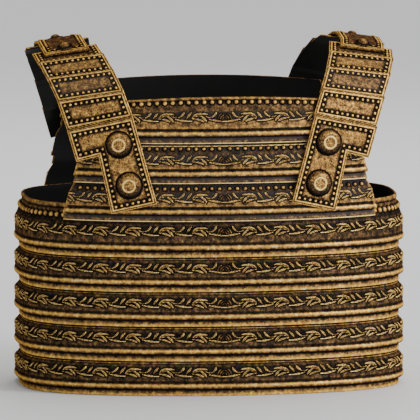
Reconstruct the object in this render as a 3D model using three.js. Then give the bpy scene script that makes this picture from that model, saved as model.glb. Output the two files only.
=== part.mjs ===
// A laminar cuirass of embossed brass sheet: five girth hoops, three chest plates and
// three back plates, carried by two shoulder straps of lapped and riveted plates.
// Millimetres, +Z up. The front faces -Y, and left and right are the wearer's, so left
// is +X. The origin is the centre of the lower edge, where the cuirass stands.

import * as THREE from 'three';

// Plan of the body, measured on the face of a hoop
const halfWidth = 215;
const halfDepth = 143.1;
const frontPower = 2;
const sidePower = 2.97;
const planSides = 36;

// Sheet metal and fits
const wall = 2;
const clearance = 0.3;

// Ribs that every hoop and plate carries near its lower edge
const flangeHeight = 8.3;
const beadHeight = 6;
const beadProud = 1;
const grooveDepth = 0.6;
const beadFlats = 4;

// Girth hoops
const hoopCount = 5;
const hoopPitch = 38.5;
const hoopRecess = 4.5;
const hoopShoulder = 9;
const hoopLap = 8;

// Collar of the top hoop, which slopes in under the chest and back plates
const collarFoot = 30;
const collarSlope = 22.5;
const collarRecess = 8.3;
const rimHeight = 5.5;
const rimProud = 1.4;

// Chest and back plates
const plateSeat = 10;
const chestRise = 140.3;
const backRise = 135;
const plateRecess = 4.2;
const plateShoulder = 10;
const plateLap = 8;
const plateHalfWidth = 175.3;
const plateTaper = 0.25;
const plateRim = 3.4;
const neckLean = 7.2;
const chestArch = 7;
const backArch = 5;
const stationInset = 0.12;

// Shoulder straps
const strapWidth = 74.5;
const strapThickness = 3;
const strapFootRise = 20.8;
const crownRise = 49.1;
const strapLap = 5;
const strapLapGap = 0.5;
const strapFootSpacing = 75.2;
const strapBowGap = 0.5;

// Top plates over the shoulders
const topPlateThickness = 5;
const topPlateWidth = 51;
const topPlateInset = 12.5;
const topPlateReach = 0.6;
const topPlateBow = 3.5;

// Bosses on the end plates and studs on the top plates
const bossRadius = 13.8;
const bossHeight = 6.5;
const bossFaceRadius = 7.5;
const studRadius = 9.5;
const studHeight = 5;
const studDomeRadius = 5;
const roundSides = 16;

// Chest and back plates from the lowest up: each one's share of the height they fill
const plateRows = [
  { number: 3, rise: 0.3 },
  { number: 2, rise: 0.317 },
  { number: 1, rise: 0.383 },
];

// Joints of a strap from the end plate up to the crown, at the strap's inner edge.
// up: height above the neck edge, as a share of crownRise; out: share of halfWidth;
// fore: share of the depth of the first joint; turn and dip: how far the outer edge
// lies back and down, as shares of strapWidth; span: the strap's own share of strapWidth.
const strapRows = [
  { up: -0.473, out: 0.472, fore: 1, turn: 0.186, dip: 0.207, span: 1 },
  { up: 0.108, out: 0.515, fore: 0.922, turn: 0.19, dip: 0.158, span: 1 },
  { up: 0.57, out: 0.556, fore: 0.751, turn: 0.153, dip: 0.136, span: 1 },
  { up: 0.864, out: 0.588, fore: 0.526, turn: 0.08, dip: 0.133, span: 0.985 },
  { up: 1, out: 0.607, fore: 0.268, turn: 0.08, dip: 0.148, span: 0.965 },
];

// Outline of an end plate, a leg with a flag at its outer side.
// across: share of strapWidth; along: share of the plate's length, from its top edge.
const endPlateRows = [
  { across: 0, along: 0 },
  { across: 1, along: 0 },
  { across: 0.96, along: 0.36 },
  { across: 0.622, along: 0.348 },
  { across: 0.61, along: 1.005 },
  { across: -0.084, along: 1 },
];

// Bosses of an end plate, in the same shares
const bossRows = [
  { name: 'upper', across: 0.286, along: 0.268 },
  { name: 'lower', across: 0.262, along: 0.735 },
];

const brass = { color: 0x8a6a3c, roughness: 0.42, metalness: 0.9 };
const darkBrass = { color: 0x5d4528, roughness: 0.5, metalness: 0.85 };
const brightBrass = { color: 0xb08d50, roughness: 0.35, metalness: 0.95 };

const cuirass = new THREE.Group();

function addMesh(name, geometry, finish) {
  const material = new THREE.MeshStandardMaterial({ ...finish, flatShading: true });
  const mesh = new THREE.Mesh(geometry, material);
  mesh.name = name;
  cuirass.add(mesh);
  return mesh;
}

// Turns the triangles of a closed geometry so that they all face out.
function facingOut(geometry) {
  const corner = geometry.getAttribute('position');
  const index = geometry.getIndex().array;
  const [a, b, c] = [new THREE.Vector3(), new THREE.Vector3(), new THREE.Vector3()];
  let volume = 0;
  for (let i = 0; i < index.length; i += 3) {
    a.fromBufferAttribute(corner, index[i]);
    b.fromBufferAttribute(corner, index[i + 1]);
    c.fromBufferAttribute(corner, index[i + 2]);
    volume += a.dot(b.cross(c));
  }
  if (volume < 0) {
    for (let i = 0; i < index.length; i += 3) {
      [index[i], index[i + 1]] = [index[i + 1], index[i]];
    }
  }
  geometry.computeVertexNormals();
  return geometry;
}

// Skins a row of equal rings of points. With no outline the last ring joins the first.
// An outline is the flat form of a ring, and its triangles cap both ends.
function sweep(rings, outline) {
  const size = rings[0].length;
  const spans = outline ? rings.length - 1 : rings.length;
  const index = [];
  for (let j = 0; j < spans; j += 1) {
    const here = j * size;
    const next = ((j + 1) % rings.length) * size;
    for (let i = 0; i < size; i += 1) {
      const k = (i + 1) % size;
      index.push(here + i, next + i, next + k, here + i, next + k, here + k);
    }
  }
  if (outline) {
    const last = spans * size;
    const area = THREE.ShapeUtils.area(outline);
    for (const [a, b, c] of THREE.ShapeUtils.triangulateShape(outline, [])) {
      const forward = THREE.ShapeUtils.area([outline[a], outline[b], outline[c]]) * area > 0;
      const [p, q, r] = forward ? [a, b, c] : [a, c, b];
      index.push(p, q, r, last + p, last + r, last + q);
    }
  }
  const geometry = new THREE.BufferGeometry();
  geometry.setFromPoints(rings.flat());
  geometry.setIndex(index);
  return facingOut(geometry);
}

// Plan of the body: a rounded oblong, walked in equal steps from the centre of the
// front, by way of the left side. Each station has a point and the way out from it.
function planStations() {
  const fineSteps = 7200;
  const fine = [];
  for (let i = 0; i <= fineSteps; i += 1) {
    const turn = (2 * Math.PI * i) / fineSteps;
    const [side, front] = [Math.sin(turn), -Math.cos(turn)];
    fine.push(new THREE.Vector2(
      halfWidth * Math.sign(side) * Math.abs(side) ** (2 / frontPower),
      halfDepth * Math.sign(front) * Math.abs(front) ** (2 / sidePower),
    ));
  }
  const walked = [0];
  for (let i = 1; i <= fineSteps; i += 1) {
    walked.push(walked[i - 1] + fine[i].distanceTo(fine[i - 1]));
  }
  const stations = [];
  let i = 0;
  for (let j = 0; j < planSides; j += 1) {
    while (walked[i] < (walked[fineSteps] * j) / planSides - 1e-6) {
      i += 1;
    }
    const { x, y } = fine[i];
    const out = new THREE.Vector2(
      Math.sign(x) * (Math.abs(x) / halfWidth) ** (frontPower - 1) * (frontPower / halfWidth),
      Math.sign(y) * (Math.abs(y) / halfDepth) ** (sidePower - 1) * (sidePower / halfDepth),
    );
    stations.push({ point: fine[i].clone(), out: out.normalize() });
  }
  return stations;
}

const plan = planStations();

// A point at a height, standing off the plan by a depth. The place is a station number,
// which may lie between two stations, and is negative on the right side of the front.
function bodyPoint(place, depth, height) {
  const low = Math.floor(place);
  const share = place - low;
  const here = plan[(low + planSides) % planSides];
  const next = plan[(low + 1 + planSides) % planSides];
  const point = here.point.clone().lerp(next.point, share);
  point.addScaledVector(here.out.clone().lerp(next.out, share), depth);
  return new THREE.Vector3(point.x, point.y, height);
}

// The station number at a distance out from the centre line, on the front.
function placeAt(across) {
  let low = 0;
  while (plan[low + 1].point.x < across) {
    low += 1;
  }
  const [a, b] = [plan[low].point.x, plan[low + 1].point.x];
  return low + (across - a) / (b - a);
}

// Profiles of the sheet are drawn as Vector2(depth, height), outside first from the
// lower edge up, then back down the inside. This is the ribbed foot that all share.
function ribbedFoot(recess) {
  const outside = [
    new THREE.Vector2(-recess, 0),
    new THREE.Vector2(-recess, flangeHeight),
  ];
  for (let i = 0; i <= beadFlats; i += 1) {
    const turn = (Math.PI * i) / beadFlats;
    outside.push(new THREE.Vector2(
      (beadProud + grooveDepth) * Math.sin(turn) - grooveDepth,
      flangeHeight + (beadHeight * (1 - Math.cos(turn))) / 2,
    ));
  }
  outside.push(new THREE.Vector2(0, flangeHeight + beadHeight + 2 * grooveDepth));
  const inside = [
    new THREE.Vector2(-wall, flangeHeight + wall),
    new THREE.Vector2(-recess - wall, flangeHeight + wall),
    new THREE.Vector2(-recess - wall, 0),
  ];
  return { outside, inside };
}

// The part above the foot turns inwards by a depth over a slope, then stands up.
function steppedProfile(recess, foot, slope, depth, top) {
  const { outside, inside } = ribbedFoot(recess);
  const drop = wall * Math.tan(Math.atan(depth / slope) / 2);
  return [
    ...outside,
    new THREE.Vector2(0, foot),
    new THREE.Vector2(-depth, foot + slope),
    ...top,
    new THREE.Vector2(-depth - wall, foot + slope - drop),
    new THREE.Vector2(-wall, foot - drop),
    ...inside,
  ];
}

// A plate whose top is tucked behind the foot of the next plate up.
function tuckedProfile(recess, pitch, shoulder, lap) {
  const depth = recess + wall + clearance;
  const top = [
    new THREE.Vector2(-depth, pitch + lap - clearance),
    new THREE.Vector2(-depth - wall, pitch + lap - clearance),
  ];
  return steppedProfile(recess, pitch - shoulder, shoulder - clearance, depth, top);
}

// The rolled edge that finishes a top: a low bead on the outside.
function rolledEdge(depth, top, height, proud) {
  return [
    new THREE.Vector2(-depth, top - height),
    new THREE.Vector2(proud - depth, top - 0.7 * height),
    new THREE.Vector2(proud - depth, top - 0.2 * height),
    new THREE.Vector2(-depth, top),
    new THREE.Vector2(-depth - wall, top),
  ];
}

function collarProfile() {
  const top = collarFoot + collarSlope + rimHeight;
  const edge = rolledEdge(collarRecess, top, rimHeight, rimProud).slice(1);
  return steppedProfile(hoopRecess, collarFoot, collarSlope, collarRecess, edge);
}

// A plate at the neck, which leans in as it rises to its rolled edge.
function neckProfile(height) {
  const { outside, inside } = ribbedFoot(plateRecess);
  return [...outside, ...rolledEdge(neckLean, height, plateRim, rimProud), ...inside];
}

function hoop(number) {
  const foot = (hoopCount - number) * hoopPitch;
  const profile = number === 1
    ? collarProfile()
    : tuckedProfile(hoopRecess, hoopPitch, hoopShoulder, hoopLap);
  const rings = [];
  for (let j = 0; j < planSides; j += 1) {
    rings.push(profile.map((p) => bodyPoint(j, p.x, foot + p.y)));
  }
  return sweep(rings);
}

for (let number = 1; number <= hoopCount; number += 1) {
  addMesh(`girth_hoop_${number}`, hoop(number), brass);
}

// The lowest plates start part of the way up the top hoop's slope, and stand off the
// plan just far enough to clear it.
const plateFoot = (hoopCount - 1) * hoopPitch + collarFoot + plateSeat;
const collarDepthAtPlates = (collarRecess * plateSeat) / collarSlope;
const plateProud = plateRecess + wall + clearance - collarDepthAtPlates;

function plateHalfWidthAt(height) {
  return plateHalfWidth - plateTaper * (height - plateFoot);
}

// An open plate on the front of the body. Its sides lean in as they rise, and arch says
// how far the ends of its upper edge drop below the middle.
function bodyPlate(profile, foot, arch) {
  const top = Math.max(...profile.map((p) => p.y));
  const archFoot = flangeHeight + 2 * beadHeight;
  const inner = Math.floor(placeAt(plateHalfWidthAt(foot)));
  const rings = [];
  for (let j = -inner - 1; j <= inner + 1; j += 1) {
    rings.push(profile.map((p) => {
      const end = placeAt(plateHalfWidthAt(foot + p.y));
      const inset = stationInset * (inner + 1 - Math.abs(j));
      const place = Math.abs(j) > inner ? end : Math.min(Math.abs(j), end - inset);
      const risen = Math.max(0, (p.y - archFoot) / (top - archFoot));
      const drop = arch * risen * (place / end) ** 2;
      return bodyPoint(Math.sign(j) * place, plateProud + p.x, foot + p.y - drop);
    }));
  }
  return sweep(rings, profile);
}

function addBodyPlates(side, sideRise, arch, turn) {
  let foot = plateFoot;
  for (const { number, rise } of plateRows) {
    const height = rise * sideRise;
    const last = number === 1;
    const profile = last
      ? neckProfile(height)
      : tuckedProfile(plateRecess, height, plateShoulder, plateLap);
    const geometry = bodyPlate(profile, foot, last ? arch : 0);
    addMesh(`${side}_plate_${number}`, geometry.rotateZ(turn), brass);
    foot += height;
  }
}

addBodyPlates('chest', chestRise, chestArch, 0);
addBodyPlates('back', backRise, backArch, Math.PI);

// Where a strap's outer face lies when the strap rests on the beads of the front. The
// flat end plate needs a little more room, because the front bows out beneath it.
function seatedFore(across) {
  const depth = plateProud + beadProud + clearance + strapBowGap;
  return bodyPoint(placeAt(across), depth, 0).y - strapThickness;
}

// Joints of the left front strap: the ends of each, on the outer face of the plates.
function strapJoints() {
  const seat = seatedFore(strapRows[0].out * halfWidth);
  return strapRows.map((row) => {
    const inner = new THREE.Vector3(
      row.out * halfWidth,
      row.fore * seat,
      plateFoot + chestRise + row.up * crownRise,
    );
    const across = new THREE.Vector3(
      Math.sqrt(1 - row.turn ** 2 - row.dip ** 2),
      row.turn,
      -row.dip,
    );
    const outer = inner.clone().addScaledVector(across, row.span * strapWidth);
    return { inner, across, outer };
  });
}

const joints = strapJoints();

// Frame of the end plate: across from its top inner corner, and along towards its foot.
function endPlateFrame() {
  const { inner, across } = joints[0];
  const foot = new THREE.Vector3(
    strapFootSpacing,
    seatedFore(strapFootSpacing),
    plateFoot + strapFootRise,
  );
  const along = foot.clone().sub(inner);
  along.addScaledVector(across, -along.dot(across));
  const length = along.length();
  along.normalize();
  const out = new THREE.Vector3().crossVectors(along, across).normalize();
  return { origin: inner, across, along, out, length };
}

const endFrame = endPlateFrame();

function endPlatePoint(row, depth) {
  return endFrame.origin.clone()
    .addScaledVector(endFrame.across, row.across * strapWidth)
    .addScaledVector(endFrame.along, row.along * endFrame.length)
    .addScaledVector(endFrame.out, depth);
}

function endPlate() {
  const rings = [0, -strapThickness].map(
    (depth) => endPlateRows.map((row) => endPlatePoint(row, depth)),
  );
  const outline = endPlateRows.map(
    (row) => new THREE.Vector2(row.across * strapWidth, row.along * endFrame.length),
  );
  return sweep(rings, outline);
}

// A flat bar through sections, each with the ends of its outer face and the way out.
function bar(sections, thickness) {
  const rings = sections.map(({ inner, outer, out }) => [
    inner,
    outer,
    outer.clone().addScaledVector(out, -thickness),
    inner.clone().addScaledVector(out, -thickness),
  ]);
  const outline = [[0, 0], [1, 0], [1, 1], [0, 1]].map(([x, y]) => new THREE.Vector2(x, y));
  return sweep(rings, outline);
}

// Strap plates, from the end plate up. Each starts under the plate before it, one lap
// gap below its inner face, and ends at the next joint. The gap leaves room for the
// slight twist of the plates.
function strapPlates() {
  const plates = [];
  let out = endFrame.out;
  let downInner = endFrame.along;
  let downOuter = endFrame.along;
  for (let i = 1; i < joints.length; i += 1) {
    const sunk = out.clone().multiplyScalar(-strapThickness - strapLapGap);
    const low = {
      inner: joints[i - 1].inner.clone().add(sunk),
      outer: joints[i - 1].outer.clone().add(sunk),
      out,
    };
    const tail = {
      inner: low.inner.clone().addScaledVector(downInner, strapLap),
      outer: low.outer.clone().addScaledVector(downOuter, strapLap),
      out,
    };
    const { inner, outer, across } = joints[i];
    downInner = low.inner.clone().sub(inner).normalize();
    downOuter = low.outer.clone().sub(outer).normalize();
    const down = downInner.clone().add(downOuter).normalize();
    out = new THREE.Vector3().crossVectors(down, across).normalize();
    plates.push([tail, low, { inner, outer, out }]);
  }
  return plates;
}

const plates = strapPlates();

// The top plate lies on the highest strap plates and bridges the gap between them.
function topPlateSections() {
  const [, low, high] = plates[plates.length - 1];
  const from = topPlateInset / strapWidth;
  const to = (topPlateInset + topPlateWidth) / strapWidth;
  const lift = high.out.clone().multiplyScalar(clearance + topPlateThickness);
  const section = (share) => {
    const inner = high.inner.clone().lerp(low.inner, share);
    const outer = high.outer.clone().lerp(low.outer, share);
    return {
      inner: inner.clone().lerp(outer, from).add(lift),
      outer: inner.clone().lerp(outer, to).add(lift),
      out: high.out,
    };
  };
  const front = [section(topPlateReach), section(0)];
  const back = front.map(({ inner, outer, out }) => ({
    inner: inner.clone().multiply(new THREE.Vector3(1, -1, 1)),
    outer: outer.clone().multiply(new THREE.Vector3(1, -1, 1)),
    out: out.clone().multiply(new THREE.Vector3(1, -1, 1)),
  })).reverse();
  const rise = new THREE.Vector3(0, 0, topPlateBow);
  const crown = {
    inner: front[1].inner.clone().lerp(back[0].inner, 0.5).add(rise),
    outer: front[1].outer.clone().lerp(back[0].outer, 0.5).add(rise),
    out: front[1].out.clone().setY(0).normalize(),
  };
  return [...front, crown, ...back];
}

const topSections = topPlateSections();

// A round fastening turned from a half outline, standing on its axis along +Y.
function turned(outline) {
  const points = outline.map(([radius, height]) => new THREE.Vector2(radius, height));
  return facingOut(new THREE.LatheGeometry(points, roundSides));
}

function boss() {
  return turned([
    [0, 0],
    [bossRadius, 0],
    [bossRadius, 0.12 * bossHeight],
    [0.86 * bossRadius, 0.6 * bossHeight],
    [bossFaceRadius, bossHeight],
    [0, bossHeight],
  ]);
}

function stud() {
  return turned([
    [0, 0],
    [studRadius, 0],
    [studRadius, 0.2 * studHeight],
    [studDomeRadius, 0.45 * studHeight],
    [0.75 * studDomeRadius, 0.85 * studHeight],
    [0, studHeight],
  ]);
}

// Places a turned piece on a face, with its axis along the way out.
function addFastening(name, geometry, point, out, mirror, finish) {
  const mesh = addMesh(name, geometry, finish);
  mesh.position.copy(point).addScaledVector(out, clearance).multiply(mirror);
  const axis = out.clone().multiply(mirror);
  mesh.quaternion.setFromUnitVectors(new THREE.Vector3(0, 1, 0), axis);
}

// One half of a strap, built for the left front and mirrored to its own quarter.
function addHalfStrap(name, mirror) {
  const addPlate = (part, geometry) => {
    geometry.scale(mirror.x, mirror.y, mirror.z);
    addMesh(`${name}_${part}`, facingOut(geometry), darkBrass);
  };
  addPlate('end_plate', endPlate());
  plates.forEach((sections, i) => {
    addPlate(`strap_plate_${i + 1}`, bar(sections, strapThickness));
  });
  for (const row of bossRows) {
    const point = endPlatePoint(row, 0);
    addFastening(`${name}_${row.name}_boss`, boss(), point, endFrame.out, mirror, brightBrass);
  }
  const [near, far] = topSections;
  const middle = near.inner.clone().add(near.outer).add(far.inner).add(far.outer);
  middle.multiplyScalar(0.25);
  addFastening(`${name}_stud`, stud(), middle, near.out, mirror, brightBrass);
}

for (const [side, x] of [['left', 1], ['right', -1]]) {
  addHalfStrap(`${side}_front`, new THREE.Vector3(x, 1, 1));
  addHalfStrap(`${side}_back`, new THREE.Vector3(x, -1, 1));
  const topPlate = bar(topSections, topPlateThickness).scale(x, 1, 1);
  addMesh(`${side}_top_plate`, facingOut(topPlate), darkBrass);
}

export default cuirass;
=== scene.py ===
"""A laminar cuirass of antiqued, embossed brass: the finished surfaces over the frame.

Lengths are in millimetres up to make_object(), which writes metres. The front faces -Y,
and left and right are the wearer's, so left is +X. Each vertex carries two values for
its colour: tone, from 0 in a black recess to 1 on a bright ridge, which holds wear as well
as painted shade in the recesses and painted highlights on the rounds, and patina, from 0
for brass to 1 for grey oxide.
"""

import math

import bpy
import numpy as np
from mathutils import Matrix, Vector


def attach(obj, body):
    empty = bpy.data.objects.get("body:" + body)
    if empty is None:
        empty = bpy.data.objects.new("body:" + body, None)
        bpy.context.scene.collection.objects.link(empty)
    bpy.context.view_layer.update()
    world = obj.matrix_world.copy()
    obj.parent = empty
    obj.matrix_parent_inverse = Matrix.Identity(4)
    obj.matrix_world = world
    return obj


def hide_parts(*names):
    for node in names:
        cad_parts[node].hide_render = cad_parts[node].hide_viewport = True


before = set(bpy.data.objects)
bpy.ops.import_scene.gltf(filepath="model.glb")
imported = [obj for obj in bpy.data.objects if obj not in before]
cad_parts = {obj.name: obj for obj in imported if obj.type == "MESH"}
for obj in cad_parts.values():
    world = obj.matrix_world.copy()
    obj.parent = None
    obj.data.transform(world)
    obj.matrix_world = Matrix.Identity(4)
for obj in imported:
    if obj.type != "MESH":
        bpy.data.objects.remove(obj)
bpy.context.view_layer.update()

MM = 0.001

# Plan of the body, measured on the face of a hoop
HALF_WIDTH = 215.0
HALF_DEPTH = 143.1
FRONT_POWER = 2.0
SIDE_POWER = 2.97
PLAN_STEPS = 14400

# Sheet metal and fits
WALL = 2.0
CLEARANCE = 0.3

# Ribs near the lower edge of every hoop and plate
FLANGE = 8.3
BEAD = 6.0
BEAD_PROUD = 1.0
GROOVE = 0.6

# Hoops and the collar of the top one
HOOPS = 5
HOOP_PITCH = 38.5
HOOP_RECESS = 4.5
HOOP_SHOULDER = 9.0
HOOP_LAP = 7.7
COLLAR_FOOT = 30.0
COLLAR_SLOPE = 22.5
COLLAR_RECESS = 8.3
RIM = 5.5
RIM_PROUD = 1.4

# Chest and back plates
PLATE_SEAT = 10.0
CHEST_RISE = 140.3
BACK_RISE = 135.0
PLATE_RECESS = 4.2
PLATE_SHOULDER = 10.0
PLATE_LAP = 7.7
PLATE_HALF_WIDTH = 175.3
PLATE_TAPER = 0.25
NECK_RIM = 3.4
NECK_LEAN = 7.2
CHEST_ARCH = 7.0
BACK_ARCH = 5.0
PLATE_ROWS = ((3, 0.3), (2, 0.317), (1, 0.383))
PLATE_FOOT = (HOOPS - 1) * HOOP_PITCH + COLLAR_FOOT + PLATE_SEAT
PLATE_PROUD = PLATE_RECESS + WALL + CLEARANCE - COLLAR_RECESS * PLATE_SEAT / COLLAR_SLOPE

# Shoulder straps
STRAP_WIDTH = 74.5
STRAP_THICKNESS = 3.0
STRAP_FOOT_RISE = 20.8
STRAP_FOOT_SPACING = 75.2
CROWN_RISE = 49.1
STRAP_LAP = 5.0
STRAP_LAP_GAP = 0.5
STRAP_BOW_GAP = 0.5
TOP_THICKNESS = 5.0
TOP_WIDTH = 51.0
TOP_INSET = 12.5
TOP_REACH = 0.6
TOP_BOW = 3.5

# Bosses and studs
BOSS_RADIUS = 13.8
BOSS_HEIGHT = 6.5
BOSS_FACE = 7.5
STUD_RADIUS = 9.5
STUD_HEIGHT = 5.0
STUD_DOME = 5.0

# Joints of a strap at its inner edge: height above the neck edge as a share of
# CROWN_RISE, distance out as a share of HALF_WIDTH, depth as a share of the first
# joint's, how far the outer edge lies back and down as shares of STRAP_WIDTH, and the
# strap's own share of STRAP_WIDTH
STRAP_JOINTS = (
    (-0.473, 0.472, 1.0, 0.186, 0.207, 1.0),
    (0.108, 0.515, 0.922, 0.19, 0.158, 1.0),
    (0.57, 0.556, 0.751, 0.153, 0.136, 1.0),
    (0.864, 0.588, 0.526, 0.08, 0.133, 0.985),
    (1.0, 0.607, 0.268, 0.08, 0.148, 0.965),
)
# Corners of an end plate: across as a share of STRAP_WIDTH, along as a share of its length
END_PLATE = ((0, 0), (1, 0), (0.96, 0.36), (0.622, 0.348), (0.61, 1.005), (-0.084, 1))
BOSS_PLACES = {"upper": (0.286, 0.268), "lower": (0.262, 0.735)}

# How far the flats of the solids lie inside the true curve of a plate
FACET = 0.1
# How far a worn neck edge lies below the solid's
NECK_DROPS = {"chest": 1.9, "back": 0.0}
# Worn ends of the plates: how far the wear reaches, and its tone
END_WEAR = (1.6, 0.75)

# Ornament: repeats of the scroll on each half of the girth, the band that it takes up about
# its baseline, the step between the band's lines, and the relief
SCROLL_REPEATS = 16
SCROLL_BAND = (-4.2, 7.8)
SCROLL_STEP = 0.54
SCROLL_RELIEF = 1.3
# Height of the baseline above the lower edge
HOOP_BASE = 24.8
COLLAR_BASE = 27.6
PLATE_BASE = 25.0
NECK_BASE = 28.0
# Round the strokes: how deep the metal sinks and how far off, how far the dark line reaches
# and over what width it fades, and over what width the patina starts
SCROLL_SINK = (0.35, 0.9)
SCROLL_HALO = (1.52, 0.8)
PATINA_START = 0.5

# Rows of dots: spacing, radius and share of the tone
NECK_DOTS = (8.75, 2.6, 1.0)
PLATE_DOTS = (8.65, 2.3, 0.85)
COLLAR_DOTS = (8.8, 3.2, 1.0)
FINE_DOTS = (5.9, 1.75, 1.08)
FINE_DOT_SIDES = 8
# Their seats: the first dot's walk from the centre, how far below the rim or the plate
# above the row runs, its share of the sheet's lean, and the slope
NECK_DOT_SEAT = (4.8, 2.3, 0.92, 0.2)
PLATE_DOT_SEAT = (5.6, 5.4, 0.45, 0.55)
COLLAR_DOT_SHARE = 0.66
# Room at the ends of a row in dot radii, the row's share of the neck's arch, and how high a
# dot stands in radii
DOT_ROOM = 1.4
DOT_ARCH = 0.8
DOT_HEIGHT = 0.8

# Thin lines near the upper edge: how far below the next piece, and the tone; where the
# tone is bright, it is a painted highlight on the line
HOOP_LINE = (1.7, 0.62)
PLATE_LINES = {2: (2.4, 1.0), 3: (1.4, 0.0)}

# The ground's share up the scroll from the baseline, and tones up a bead and up a rim. The
# bead's and the rim's tones paint a highlight high on the round and shade at its foot, and on
# a bead at its top as well; RIM_SHINE scales the rim's
LEAF_GROUND = ((-4.2, -3.3, -2.4, 5.5, 7.5), (0.84, 1.0, 0.36, 0.26, 0.45))
BEAD_TONES = ((0, 0.2, 0.45, 0.68, 0.85, 1), (0.12, 0.44, 0.78, 0.9, 0.66, 0.28))
RIM_TONES = ((0, 0.25, 0.6, 1), (0.1, 0.6, 0.95, 0.85))
RIM_SHINE = 0.66

# Grids: stations round the girth and across a plate, and fine steps to each station on the
# scroll band
GIRTH_STEPS = 231
PLATE_STEPS = GIRTH_STEPS // 3
FINE_STEPS = 8


def unit(vector):
    return vector / np.linalg.norm(vector)


class Plan:
    """The rounded oblong of the body, walked from the centre of the front by the left."""

    def __init__(self):
        turn = np.linspace(0, 2 * math.pi, PLAN_STEPS + 1)
        side, front = np.sin(turn), -np.cos(turn)
        self.x = HALF_WIDTH * np.sign(side) * np.abs(side) ** (2 / FRONT_POWER)
        self.y = HALF_DEPTH * np.sign(front) * np.abs(front) ** (2 / SIDE_POWER)
        steps = np.hypot(np.diff(self.x), np.diff(self.y))
        self.walked = np.concatenate([[0], np.cumsum(steps)])
        self.girth = self.walked[-1]
        out_x = side * np.abs(side) ** (2 * (FRONT_POWER - 1) / FRONT_POWER - 1) / HALF_WIDTH
        out_y = np.sign(front) * np.abs(front) ** (2 * (SIDE_POWER - 1) / SIDE_POWER)
        out_x = out_x * FRONT_POWER
        out_y = out_y * SIDE_POWER / HALF_DEPTH
        size = np.hypot(out_x, out_y)
        self.out_x, self.out_y = out_x / size, out_y / size

    def read(self, place, x, y, height):
        """Two values along the plan, at a walk from the front centre, and a height."""
        walk = np.mod(place, self.girth)
        flat = [np.interp(walk, self.walked, values) for values in (x, y)]
        return np.stack([*flat, np.broadcast_to(height, walk.shape)], -1)

    def points(self, place, depth, height):
        """Points at a walk from the front centre, standing off the plan by a depth."""
        out = self.read(place, self.out_x, self.out_y, 0.0)
        return self.read(place, self.x, self.y, height) + out * np.reshape(depth, (-1, 1))

    def out(self, place, slope):
        """The way out from a sheet that leans in by a slope."""
        out = self.read(place, self.out_x, self.out_y, slope)
        return out / np.linalg.norm(out, axis=1)[:, None]

    def place_at(self, across):
        """The walk to a distance out from the centre line, on the front."""
        quarter = len(self.x) // 4
        return float(np.interp(across, self.x[:quarter], self.walked[:quarter]))


plan = Plan()


class Draft:
    """Collects the vertices and faces of one piece."""

    def __init__(self):
        self.points, self.tones, self.patinas = [], [], []
        self.faces, self.slots = [], []
        self.count = 0

    def add(self, points, faces, tone, patina=0.0, slot=0):
        """Adds a patch. tone and patina are one value or one for each point."""
        points = np.asarray(points, float).reshape(-1, 3)
        size = len(points)
        self.points.append(points)
        self.tones.append(np.broadcast_to(tone, (size,)).astype(float))
        self.patinas.append(np.broadcast_to(patina, (size,)).astype(float))
        self.faces.extend(tuple(i + self.count for i in face) for face in faces)
        self.slots.extend([slot] * len(faces))
        self.count += size

    def mirror(self, x, y):
        """The same piece in another quarter of the body."""
        other = Draft()
        flip = x * y < 0
        other.points = [points * np.array([x, y, 1.0]) for points in self.points]
        other.tones, other.patinas = self.tones, self.patinas
        other.faces = [face[::-1] if flip else face for face in self.faces]
        other.slots, other.count = self.slots, self.count
        return other


def grid_faces(rows, columns, closed=False):
    """Quads of a grid whose points run along the columns first."""
    spans = columns if closed else columns - 1
    return [
        (r * columns + c, r * columns + (c + 1) % columns,
         (r + 1) * columns + (c + 1) % columns, (r + 1) * columns + c)
        for r in range(rows - 1) for c in range(spans)
    ]


def add_to_scene(name, data):
    thing = bpy.data.objects.new(name, data)
    bpy.context.scene.collection.objects.link(thing)
    return thing


SMOOTH_ANGLE = math.radians(40)


def make_object(node, word, draft, slot):
    """One piece that stands for a CAD node and rides on the body."""
    name = f"{node}_{word}"
    mesh = bpy.data.meshes.new(name)
    mesh.from_pydata((np.concatenate(draft.points) * MM).tolist(), [], draft.faces)
    for label, values in (("tone", draft.tones), ("patina", draft.patinas)):
        layer = mesh.attributes.new(label, "FLOAT", "POINT")
        layer.data.foreach_set("value", np.concatenate(values).astype(np.float32))
    mesh.materials.append(BRASSES[slot])
    mesh.materials.append(inside)
    mesh.polygons.foreach_set("material_index", draft.slots)
    mesh.shade_smooth()
    mesh.set_sharp_from_angle(angle=SMOOTH_ANGLE)
    mesh.update()
    piece = add_to_scene(name, mesh)
    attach(piece, "root")
    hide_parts(node)


# Shares of a stroke's half width where its tone is given. The first two are its middle, and
# EDGE_TONES holds the tones of the rest: the edges are rubbed bright and carry a painted
# highlight, and the middle of a hollow stroke holds painted shade at HOLLOW_TONE.
CORE_SHARES = (0, 0.2, 0.5, 0.8, 1)
EDGE_TONES = (1.2, 1.15, 0.4)
HOLLOW_TONE = 0.05
SOLID_TONE = 0.8
# How deep the middle of a hollow stroke lies, and its half width, as shares
HOLLOW = (0.7, 0.35)
# Share of its width that a stroke is drawn at, the share of that at its ends, and how far
# along it the widening reaches
STROKE_WIDTH = (0.8, 0.3, 0.6)


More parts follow.
